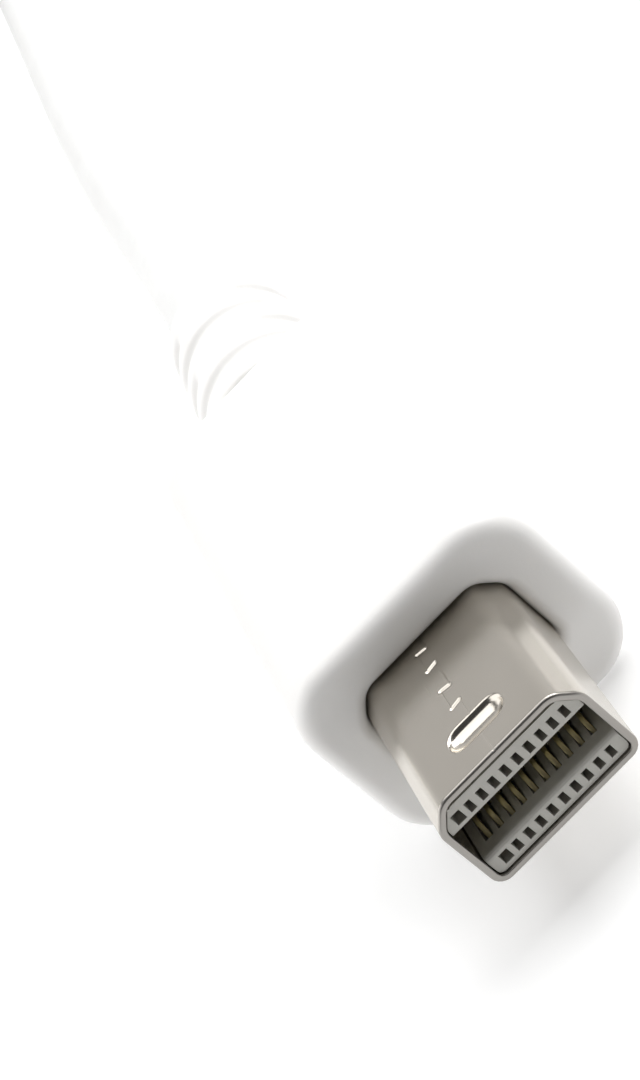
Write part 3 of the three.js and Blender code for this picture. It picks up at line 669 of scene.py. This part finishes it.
def cut_edge(grid):
    """1 on a shell's cut front edge, and 0 past where its rounding ends."""
    start, end = RIM_CUT
    along = grid[..., 1] - grid[..., 1].min()
    return {"cut": smooth_step((end - along) / (end - start))}


def dimple_depth(x, y):
    """Depth of the pressed dimple, read from its section by how far the point is from the middle line of a
    slot. The section's corners are rounded by the mean of five readings a little apart."""
    away = np.hypot(np.maximum(np.abs(x) - DIMPLE_HALF_STRAIGHT, 0), y - DIMPLE_ALONG)
    places, depths = np.array(DIMPLE_SECTION).T
    shifts = DIMPLE_SOFTNESS * np.linspace(-1, 1, 5)
    return np.mean([np.interp(np.abs(away + shift), places, depths) for shift in shifts], axis=0)


def seam_depth(x, y):
    """Depth of the seam, the deepest of bells of the distance to each part of its line. The line runs along
    the shell with a flared tab to the left at each dovetail, and its parts across the shell are wider."""
    spots = [(0, -1)]
    for start, end in SEAM_TABS:
        spots += [(0, start), (-SEAM_TAB_ACROSS, start - SEAM_TAB_FLARE)]
        spots += [(-SEAM_TAB_ACROSS, end + SEAM_TAB_FLARE), (0, end)]
    spots = np.array(spots + [(0, 20)], float)
    deepest = np.zeros(x.shape)
    for a, b in zip(spots[:-1], spots[1:]):
        d = b - a
        depth, half_width = SEAM_ACROSS if abs(d[0]) > abs(d[1]) else SEAM_ALONG
        t = np.clip(((x - a[0]) * d[0] + (y - a[1]) * d[1]) / (d @ d), 0, 1)
        away = np.hypot(x - a[0] - t * d[0], y - a[1] - t * d[1])
        deepest = np.maximum(deepest, depth * np.exp(-(away / half_width) ** 2))
    return deepest


def add_small_shell(finish):
    """The rolled shell: its section carried along the wall's rows, then pressed in by the dimple and seam
    on the upper face."""
    low, high = corners_of("mini_plug_shell")
    half_width, half_height = (high[0] - low[0]) / 2, (high[2] - low[2]) / 2
    length = high[1] - low[1]
    corners = shell_corners(half_width, half_height)
    fine = np.arange(-0.62, 0.621, 0.025)
    medium = np.arange(0.66, 1.65, 0.045)
    coarse = np.linspace(1.8, 2.4, 4)
    across = np.concatenate([-coarse[::-1], -medium[::-1], fine, medium, coarse])
    top_half = half_width - SHELL_CHAMFER[0] - 0.2
    top = (across[::-1] + top_half) / (2 * top_half)
    shares = [even_shares(10), even_shares(6), even_shares(5), 1 - top, even_shares(5), even_shares(6)]
    tabs = [np.arange(a - 0.25, b + 0.25, 0.035) for a, b in SEAM_TABS]
    outer = np.concatenate([
        np.linspace(RIM_ROUND + 0.05, 1.2, 12),
        np.arange(1.25, 3.05, 0.03),
        np.linspace(3.1, 3.3, 3),
        np.linspace(3.35, 3.7, 4),
        tabs[0],
        np.linspace(5.6, 6.6, 8),
        tabs[1],
        np.linspace(8.6, length, 10),
    ])
    inner = np.concatenate([np.linspace(RIM_ROUND + 0.1, 4, 14), np.linspace(4.4, length, 12)])
    rows = wall_rows(0, SHELL_SHEET, RIM_ROUND, RIM_INNER_ROUND, outer, inner)
    grid = []
    for y, depth in rows:
        radii = np.maximum(np.array(SHELL_ROUNDS) - depth, 0.05)
        ring = ring_of(inset(corners, depth), radii, shares, 7)
        grid.append(np.stack([ring[:, 0], np.full(len(ring), y), ring[:, 1]], 1))
    grid = np.array(grid)
    x, y, z = grid[..., 0], grid[..., 1], grid[..., 2]
    on_top = (np.abs(x) < top_half + 0.1) & (z > half_height - 0.75 * SHELL_SHEET)
    inside_top = (np.abs(x) < top_half + 0.1) & (z > half_height - 1.2 * SHELL_SHEET) & ~on_top
    dimple = dimple_depth(x, y)
    grid[..., 2] -= np.where(on_top, dimple + seam_depth(x, y) * (dimple < 0.005), 0)
    grid[..., 2] -= np.where(inside_top, DIMPLE_INSIDE_SHARE * dimple, 0)
    grid += ((low[0] + high[0]) / 2, low[1], (low[2] + high[2]) / 2)
    shell = surface("small_shell", [grid], "joined", finish, cut_edge(grid))
    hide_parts("mini_plug_shell")


def wide_corners(half_width, half_height):
    """The wide shell's six corners, anticlockwise from the lower left, with its slants below."""
    return np.array([
        (-WIDE_FOOT_HALF_WIDTH, -half_height),
        (WIDE_FOOT_HALF_WIDTH, -half_height),
        (half_width, half_height - WIDE_SIDE),
        (half_width, half_height),
        (-half_width, half_height),
        (-half_width, half_height - WIDE_SIDE),
    ])


def add_moulding(name, node, socket_corners, socket_rounds, socket_centre, socket_depth, finish):
    """A moulded body. Rings go from the socket's bottom out of its mouth, across the front face, round the
    soft edge, along the sides, over the shoulder and across the back. Each ring is an outline at polar
    angles about the socket's middle, so neighbouring rings line up."""
    low, high = corners_of(node)
    middle = np.array([(low[0] + high[0]) / 2, (low[2] + high[2]) / 2])
    half = np.array([high[0] - low[0], high[2] - low[2]]) / 2
    front, back = low[1], high[1]
    box = box_corners(*half)
    angles = np.linspace(0, 2 * math.pi, MOULD_COLUMNS, endpoint=False)
    centre = np.array(socket_centre)

    def body(depth):
        """The body's outline, this far inside its widest one."""
        radii = np.maximum(np.full(4, MOULD_CORNER) - depth, 0.2)
        outline = ring_of(inset(box, depth), radii, [even_shares(24)] * 4, 16)
        return polar_ring(outline + middle, centre, angles)

    def socket(gap):
        """The socket's outline, this far outside the shell's."""
        corners = inset(socket_corners, -gap)
        radii = np.array(socket_rounds) + max(gap, 0)
        outline = ring_of(corners, radii, [even_shares(24)] * 6, 8)
        return polar_ring(outline + centre, centre, angles)

    rows = []
    flare, flare_depth = SOCKET_FLARE
    rows.append((socket(SOCKET_GAP), front + socket_depth))
    rows.append((socket(SOCKET_GAP), front + socket_depth / 2))
    for k in range(9):
        angle = math.pi / 2 * k / 8
        gap = SOCKET_GAP + flare * (1 - math.cos(angle))
        rows.append((socket(gap), front + flare_depth * (1 - math.sin(angle))))
    inner, outer = socket(SOCKET_GAP + flare), body(MOULD_EDGE)
    for k in range(1, 12):
        rows.append((inner + (outer - inner) * k / 12, front))
    for k in range(10):
        angle = math.pi / 2 * k / 9
        depth = MOULD_EDGE * (1 - math.sin(angle))
        rows.append((body(depth), front + MOULD_EDGE * (1 - math.cos(angle))))
    step_back = back - MOULD_SHOULDER
    for y in np.linspace(front + MOULD_EDGE, step_back - MOULD_EDGE, 24)[1:]:
        rows.append((body(0), y))
    for k in range(1, 7):
        angle = math.pi / 2 * k / 6
        depth = MOULD_EDGE * (1 - math.cos(angle))
        rows.append((body(depth), step_back - MOULD_EDGE * (1 - math.sin(angle))))
    rows.append((body(MOULD_SHOULDER_INSET), step_back))
    for k in range(7):
        angle = math.pi / 2 * k / 6
        depth = MOULD_SHOULDER_INSET + MOULD_EDGE * (1 - math.cos(angle))
        rows.append((body(depth), back - MOULD_EDGE * (1 - math.sin(angle))))
    last = rows[-1][0]
    for share in (0.75, 0.5, 0.25):
        rows.append((middle + (last - middle) * share, back))
    grid = np.array([np.stack([ring[:, 0], np.full(len(ring), y), ring[:, 1]], 1) for ring, y in rows])
    moulding = surface(name, [grid], "capped", finish)
    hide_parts(node)
    return moulding


def add_relief(name, node, finish):
    """A strain relief: a tapered radius about its axis, cut by slots that alternate between the two sides
    of the cable and the two faces, so ribs and bridges form a ladder. A slot's depth is a bell along the
    axis times a gate round it."""
    low, high = corners_of(node)
    centre = (low + high) / 2
    length = high[1] - low[1]
    share = np.concatenate([[0, 0], np.linspace(0, 1, 150), [1, 1]])
    along = share * length
    angle = np.linspace(0, 2 * math.pi, 96, endpoint=False)
    radius = RELIEF_ROOT_RADIUS + (RELIEF_END_RADIUS - RELIEF_ROOT_RADIUS) * share
    radius = np.repeat(radius[:, None], len(angle), 1)
    pitch = length / RELIEF_RIBS
    for k in range(1, RELIEF_RIBS):
        bell = np.exp(-((along - k * pitch) / (0.2 * pitch)) ** 4)
        gate = smooth_step((np.cos(2 * angle + math.pi * (k % 2)) + 0.55) / 0.35)
        radius = radius - RELIEF_SLOT_DEPTH * bell[:, None] * gate[None, :]
    to_end = np.minimum(along, length - along)
    drop = np.clip(1 - to_end / RELIEF_END_ROUND, 0, 1)
    radius -= (RELIEF_END_ROUND * (1 - np.sqrt(1 - drop ** 2)))[:, None]
    radius[0] = radius[-1] = RELIEF_END_RINGS[0]
    radius[1] = radius[-2] = RELIEF_END_RINGS[1]
    grid = np.stack([
        centre[0] + radius * np.cos(angle),
        low[1] + np.repeat(along[:, None], len(angle), 1),
        centre[2] + radius * np.sin(angle),
    ], -1)
    relief = surface(name, [grid], "capped", finish)
    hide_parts(node)
    return relief


def strip(line, width, sheet):
    """A bent strip: its line in Y and Z is smoothed, and at each point stands a section of rounded corners,
    as wide as the strip across X and as thick as its sheet square to the line."""
    line = np.array([(0, y, z) for y, z in line], float)
    line = relaxed(even_line(line, 0.12), 5)
    ahead = unit(np.gradient(line, axis=0))
    normal = np.cross(ahead, (1, 0, 0))
    angle = np.linspace(0, 2 * math.pi, 12, endpoint=False) + math.pi / 12
    u = np.sign(np.cos(angle)) * np.abs(np.cos(angle)) ** 0.35 * width / 2
    v = np.sign(np.sin(angle)) * np.abs(np.sin(angle)) ** 0.35 * sheet / 2
    return line[:, None] + u[None, :, None] * np.array([1, 0, 0]) + v[None, :, None] * normal[:, None]


def add_contacts(name, nodes, line_of, width, sheet, finish):
    """One mesh of a row of contacts, a bent strip in the box of each node."""
    grids = []
    for node in nodes:
        low, high = corners_of(node)
        middle = (low + high) / 2
        grids.append(strip(line_of(low, high), width, sheet) + (middle[0], 0, 0))
    row = surface(name, grids, "capped", finish)
    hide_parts(*nodes)
    return row


def small_contact_line(upper):
    """Middle line of a small contact: straight in its slot, bowed into the mouth, its tip lifted again."""
    half_sheet = SMALL_CONTACT_SHEET / 2

    def line(low, high):
        """Its points in Y and Z, from its seat to its tip, in a box with these corners."""
        seat, crown = (high[2], low[2]) if upper else (low[2], high[2])
        into = -half_sheet if upper else half_sheet
        back, tip = high[1], low[1]
        return [
            (back, seat + into),
            (tip + 2.45, seat + into),
            (tip + 1.25, crown - into),
            (tip + 0.6, crown - into),
            (tip, crown + (seat - crown) * 0.72),
        ]

    return line


def wide_contact_line(upper):
    """Middle line of a wide contact: flat along the wall, with its nose turned a little."""
    half_sheet = WIDE_CONTACT_SHEET / 2

    def line(low, high):
        """Its points in Y and Z, from its seat to its tip, in a box with these corners."""
        seat, nose = (low[2], high[2]) if upper else (high[2], low[2])
        into = half_sheet if upper else -half_sheet
        return [(high[1], seat + into), (low[1] + 0.6, seat + into), (low[1], nose - 1.6 * into)]

    return line


def cut_out(piece, outlines, low, high):
    """Cuts upright posts with the given outlines in X and Y out of a piece, and keeps the cut mesh."""
    posts = [np.stack([np.insert(outline, 2, z, axis=1) for z in (low, high)]) for outline in outlines]
    tool = surface("posts", posts, "capped", piece.data.materials[0])
    cut = piece.modifiers.new("Cut", "BOOLEAN")
    cut.object = tool
    cut.solver = "EXACT"
    bpy.context.view_layer.update()
    ready = piece.evaluated_get(bpy.context.evaluated_depsgraph_get())
    mesh = bpy.data.meshes.new_from_object(ready)
    piece.modifiers.clear()
    uncut, posts_mesh = piece.data, tool.data
    piece.data = mesh
    bpy.data.objects.remove(tool)
    bpy.data.meshes.remove(uncut)
    bpy.data.meshes.remove(posts_mesh)
    mesh.name = piece.name


def add_wide_shell(finish):
    """The wide shell: its section carried along the wall's rows, with four latch windows cut through."""
    low, high = corners_of("wide_plug_shell")
    half_width, half_height = (high[0] - low[0]) / 2, (high[2] - low[2]) / 2
    length = high[1] - low[1]
    corners = wide_corners(half_width, half_height)
    rows = wall_rows(
        0, WIDE_SHEET, WIDE_RIM_ROUND, WIDE_RIM_INNER_ROUND,
        np.linspace(WIDE_RIM_ROUND + 0.1, length, 20), np.linspace(WIDE_RIM_ROUND + 0.1, length, 20),
    )
    grid = []
    for y, depth in rows:
        radii = np.full(6, max(WIDE_ROUND - depth, 0.05))
        ring = ring_of(inset(corners, depth), radii, [even_shares(12)] * 6, 8)
        grid.append(np.stack([ring[:, 0], np.full(len(ring), y), ring[:, 1]], 1))
    grid = np.array(grid) + ((low[0] + high[0]) / 2, low[1], (low[2] + high[2]) / 2)
    shell = surface("wide_shell", [grid], "joined", finish, cut_edge(grid))
    middle, window = (low + high) / 2, np.array((WINDOW_WIDTH, WINDOW_LENGTH)) / 2
    outline = ring_of(box_corners(*window), np.full(4, WINDOW_ROUND), [even_shares(2)] * 4, 5)
    along = low[1] + WINDOW_FROM_TIP
    places = [(middle[0] + side * WINDOW_FROM_MIDDLE, along) for side in (-1, 1)]
    cut_out(shell, [outline + place for place in places], low[2] - 1, high[2] + 1)
    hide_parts("wide_plug_shell")
    return shell


def add_strap(finish):
    """The strap: an upright loop round the hank with rounded corners. Each place along the loop has a flat
    section with rounded edges, and the outer face is thicker where the strap's end lies over itself."""
    low, high = corners_of("hank_strap")
    middle = (low + high) / 2
    half = np.array([high[0] - low[0], high[2] - low[2]]) / 2
    box = box_corners(*half)
    width = high[1] - low[1]
    sheet = STRAP_SHEET - STRAP_THINNER

    def loop(depth):
        """The strap's loop, this far inside its outer face."""
        radii = np.full(4, max(STRAP_CORNER - depth, 0.3))
        return ring_of(inset(box, depth), radii, [even_shares(count) for count in STRAP_SHARES], 8)

    outer, inner = loop(0), loop(sheet)
    along = np.concatenate([[0], np.cumsum(np.linalg.norm(np.diff(outer, axis=0), axis=1))])
    start = along[STRAP_SHARES[0] + STRAP_FLAP_FROM]
    end = along[sum(STRAP_SHARES[:2]) + STRAP_FLAP_TO]
    over = smooth_step((along - start) / 0.5) * smooth_step((end - along) / 0.5)
    outwards = unit(outer - inner)
    angle = np.linspace(0, 2 * math.pi, 28, endpoint=False)
    across = np.sign(np.cos(angle)) * np.abs(np.cos(angle)) ** 0.3 * width / 2
    lift = (np.sign(np.sin(angle)) * np.abs(np.sin(angle)) ** 0.6 + 1) / 2
    ring = inner[:, None] + (outer - inner)[:, None] * lift[None, :, None]
    ring = ring + outwards[:, None] * (STRAP_FLAP * over[:, None] * (lift > 0.5)[None, :])[..., None]
    grid = np.stack([
        middle[0] + ring[..., 0],
        middle[1] + np.repeat(across[None], len(ring), 0),
        middle[2] + ring[..., 1],
    ], -1)
    marks = {
        "along": np.repeat(along[:, None], len(angle), 1),
        "across": np.repeat(across[None], len(ring), 0),
    }
    strap = surface("strap", [grid], "joined", finish, marks)
    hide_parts("hank_strap")
    return strap


def add_light(name, spot, aim, size, radiance):
    """A soft rectangular light at a spot that faces an aim, in metres. Its power is the radiance times pi
    times its area."""
    data = bpy.data.lights.new(name, "AREA")
    data.shape = "RECTANGLE"
    data.size, data.size_y = size
    data.energy = radiance * math.pi * size[0] * size[1]
    light = bpy.data.objects.new(name, data)
    bpy.context.scene.collection.objects.link(light)
    light.location = spot
    light.rotation_euler = (Vector(aim) - Vector(spot)).to_track_quat("-Z", "Y").to_euler()
    light.visible_camera = False


def add_stage():
    """The pale floor, the soft lights and the surroundings: pale to the camera, and dim as a light."""
    mesh = bpy.data.meshes.new("floor")
    mesh.from_pydata([(-1.3, -1.2, 0), (1.3, -1.2, 0), (1.3, 1.5, 0), (-1.3, 1.5, 0)], [], [(0, 1, 2, 3)])
    floor = bpy.data.objects.new("floor", mesh)
    bpy.context.scene.collection.objects.link(floor)
    mesh.materials.append(floor_white())
    world = bpy.data.worlds.new("surroundings")
    world.use_nodes = True
    nodes, links = world.node_tree.nodes, world.node_tree.links
    dim, pale = nodes["Background"], nodes.new("ShaderNodeBackground")
    dim.inputs["Color"].default_value = (1, 1, 1, 1)
    dim.inputs["Strength"].default_value = DIM_SURROUNDINGS
    pale.inputs["Color"].default_value = (1, 1, 1, 1)
    ray, mix = nodes.new("ShaderNodeLightPath"), nodes.new("ShaderNodeMixShader")
    links.new(ray.outputs["Is Camera Ray"], mix.inputs[0])
    links.new(dim.outputs[0], mix.inputs[1])
    links.new(pale.outputs[0], mix.inputs[2])
    links.new(mix.outputs[0], nodes["World Output"].inputs["Surface"])
    bpy.context.scene.world = world
    for light in LIGHTS:
        add_light(*light)
    bpy.context.scene.view_settings.view_transform = "Standard"


add_camera()
jacket = white_jacket()
cable, cable_line, cable_exit = add_cable(jacket)
metal, plastic, plating = shell_metal(), white_moulding(), gilt()

add_small_shell(metal)
softened(
    "small_contact_block", "mini_plug_contact_block", BLOCK_BEVEL, grey_resin(),
    BLOCK_LIP_END, BLOCK_LIP_DROP,
)
for row in ("upper", "lower"):
    names = [f"mini_plug_{row}_contact_{i:02d}" for i in range(1, 11)]
    line_of = small_contact_line(row == "upper")
    add_contacts(
        f"small_{row}_contacts", names, line_of, SMALL_CONTACT_WIDTH, SMALL_CONTACT_SHEET, plating,
    )
shell_low, shell_high = corners_of("mini_plug_shell")
shell_half = (shell_high - shell_low) / 2
shell_centre = ((shell_low + shell_high) / 2)[[0, 2]]
add_moulding(
    "small_moulding", "mini_plug_moulding", shell_corners(shell_half[0], shell_half[2]),
    SHELL_ROUNDS, shell_centre, SOCKET_DEPTH, plastic,
)
small_relief = add_relief("small_strain_relief", "mini_plug_strain_relief", plastic)

wide_shell = add_wide_shell(metal)
wide_block = softened(
    "wide_contact_block", "wide_plug_contact_block", BLOCK_BEVEL, black_resin(),
)
for row, count in (("upper", 10), ("lower", 9)):
    names = [f"wide_plug_{row}_contact_{i:02d}" for i in range(1, count + 1)]
    line_of = wide_contact_line(row == "upper")
    add_contacts(
        f"wide_{row}_contacts", names, line_of, WIDE_CONTACT_WIDTH, WIDE_CONTACT_SHEET, plating,
    )
wide_low, wide_high = corners_of("wide_plug_shell")
wide_half = (wide_high - wide_low) / 2
wide_centre = ((wide_low + wide_high) / 2)[[0, 2]]
wide_mould = add_moulding(
    "wide_moulding", "wide_plug_moulding", wide_corners(wide_half[0], wide_half[2]),
    (WIDE_ROUND,) * 6, wide_centre, WIDE_SOCKET_DEPTH, plastic,
)
wide_relief = add_relief("wide_strain_relief", "wide_plug_strain_relief", plastic)
strap = add_strap(white_strap())

add_stage()
